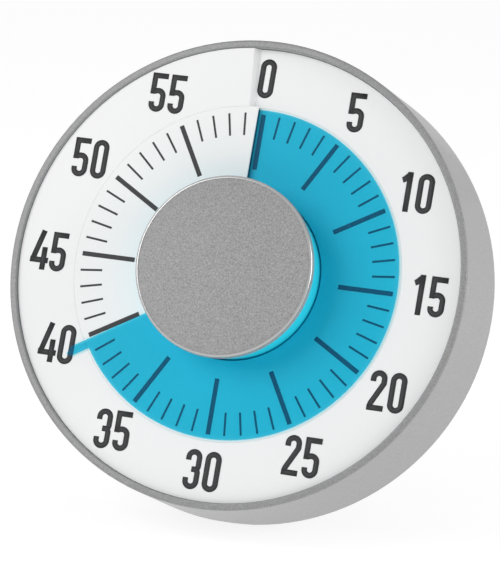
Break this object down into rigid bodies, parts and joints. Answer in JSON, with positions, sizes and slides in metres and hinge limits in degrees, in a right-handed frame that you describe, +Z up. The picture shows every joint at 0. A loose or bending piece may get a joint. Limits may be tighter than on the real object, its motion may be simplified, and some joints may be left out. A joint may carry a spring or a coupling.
{
  "type": "kitchen timer",
  "caption": "Round wind-up kitchen timer with a silver case, a white numbered dial, a blue film that shows the time left, a large centre knob and a fold-out leg.",
  "frame": {"origin": "middle of the small flat on the case's rear lower edge, on the table", "axes": "+Z up; +X to the user's right; the dial faces -Y and leans back 20 degrees"},
  "size_m": [0.1626, 0.0918, 0.1635],
  "materials": {
    "case_silver": "fine matt silver lacquer",
    "knob_silver": "fine-grained matt silver with a bright bevel",
    "dial_white": "smooth white",
    "inner_white": "moulded white",
    "film_blue": "translucent blue film",
    "drum_blue": "deep translucent blue",
    "steel": "turned steel",
    "spring_steel": "blued spring steel",
    "brass": "stamped brass",
    "bell_nickel": "nickel-plated",
    "magnet_black": "ferrite",
    "foot_rubber": "soft black"
  },
  "bodies": {
    "case": {"case_ring": "case_silver", "rear_cover": "case_silver", "cover_screws": "steel", "magnets": "magnet_black", "number_ring": "dial_white", "tick_disc": "dial_white", "movement_carrier": "inner_white", "carrier_screws": "steel", "front_plate": "brass", "rear_plate": "brass", "pillars": "steel", "movement_screws": "steel", "plate_screws": "steel", "arbor_bushes": "brass", "mainspring": "spring_steel", "hairspring": "spring_steel", "hairspring_stud": "steel", "hammer_post": "steel", "hammer_spring": "spring_steel", "bell": "bell_nickel", "bell_post": "steel", "stand_pin": "steel"},
    "knob": {"knob_cap": "knob_silver", "knob_drum": "drum_blue", "knob_screws": "steel", "main_arbor": "steel", "great_wheel": "brass", "ratchet_wheel": "steel", "click_spring": "spring_steel", "alarm_cam": "steel"},
    "film": {"film": "film_blue"},
    "click": {"click": "steel"},
    "second": {"second_arbor": "steel", "second_wheel": "brass"},
    "third": {"third_arbor": "steel", "third_wheel": "brass"},
    "escape": {"escape_arbor": "steel", "escape_wheel": "brass"},
    "pallet": {"pallet_lever": "steel", "pallet_arbor": "steel"},
    "balance": {"balance_wheel": "brass", "balance_staff": "steel"},
    "hammer": {"hammer": "steel"},
    "stand": {"stand_leg": "case_silver", "stand_foot": "foot_rubber"}
  },
  "joints": [
    {"name": "knob_turn", "type": "hinge", "parent": "case", "child": "knob", "pos_m": [0, -0.00517, 0.08741], "axis": [0, 0.9397, -0.342], "range_deg": [-238.5, 120]},
    {"name": "film_slide", "type": "slide", "parent": "knob", "child": "film", "axis": [0, -0.9397, 0.342], "range_m": [-0.00159, 0.0008]},
    {"name": "second_turn", "type": "hinge", "parent": "case", "child": "second", "pos_m": [0.02122, -0.00936, 0.0759], "axis": [0, 0.9397, -0.342], "range_deg": [-720, 1431]},
    {"name": "third_turn", "type": "hinge", "parent": "case", "child": "third", "pos_m": [0.01506, -0.01514, 0.06], "axis": [0, 0.9397, -0.342], "range_deg": [-7155, 3600]},
    {"name": "escape_turn", "type": "hinge", "parent": "case", "child": "escape", "pos_m": [0.00261, -0.01552, 0.05898], "axis": [0, 0.9397, -0.342], "range_deg": [-14400, 28620]},
    {"name": "pallet_rock", "type": "hinge", "parent": "case", "child": "pallet", "pos_m": [-0.00695, -0.01523, 0.05976], "axis": [0, 0.9397, -0.342], "range_deg": [-5, 5]},
    {"name": "balance_swing", "type": "hinge", "parent": "case", "child": "balance", "pos_m": [-0.01891, -0.01487, 0.06075], "axis": [0, 0.9397, -0.342], "range_deg": [-60, 60], "stiffness_Nm_per_rad": 0.00002},
    {"name": "click_lift", "type": "hinge", "parent": "knob", "child": "click", "pos_m": [-0.01212, -0.00278, 0.09398], "axis": [0, -0.9397, 0.342], "range_deg": [0, 12], "stiffness_Nm_per_rad": 0.002, "springref_deg": -11.46},
    {"name": "hammer_strike", "type": "hinge", "parent": "case", "child": "hammer", "pos_m": [0.018, -0.00107, 0.09868], "axis": [0, 0.9397, -0.342], "range_deg": [-12, 2.5], "stiffness_Nm_per_rad": 0.01},
    {"name": "stand_fold", "type": "hinge", "parent": "case", "child": "stand", "pos_m": [0, 0.03869, 0.09272], "axis": [1, 0, 0], "range_deg": [-30, 0]}
  ],
  "couplings": [
    {"joint": "film_slide", "follows": "knob_turn", "m_per_rad": 0.00038197},
    {"joint": "second_turn", "follows": "knob_turn", "ratio": -6},
    {"joint": "third_turn", "follows": "knob_turn", "ratio": 30},
    {"joint": "escape_turn", "follows": "knob_turn", "ratio": -120}
  ]
}
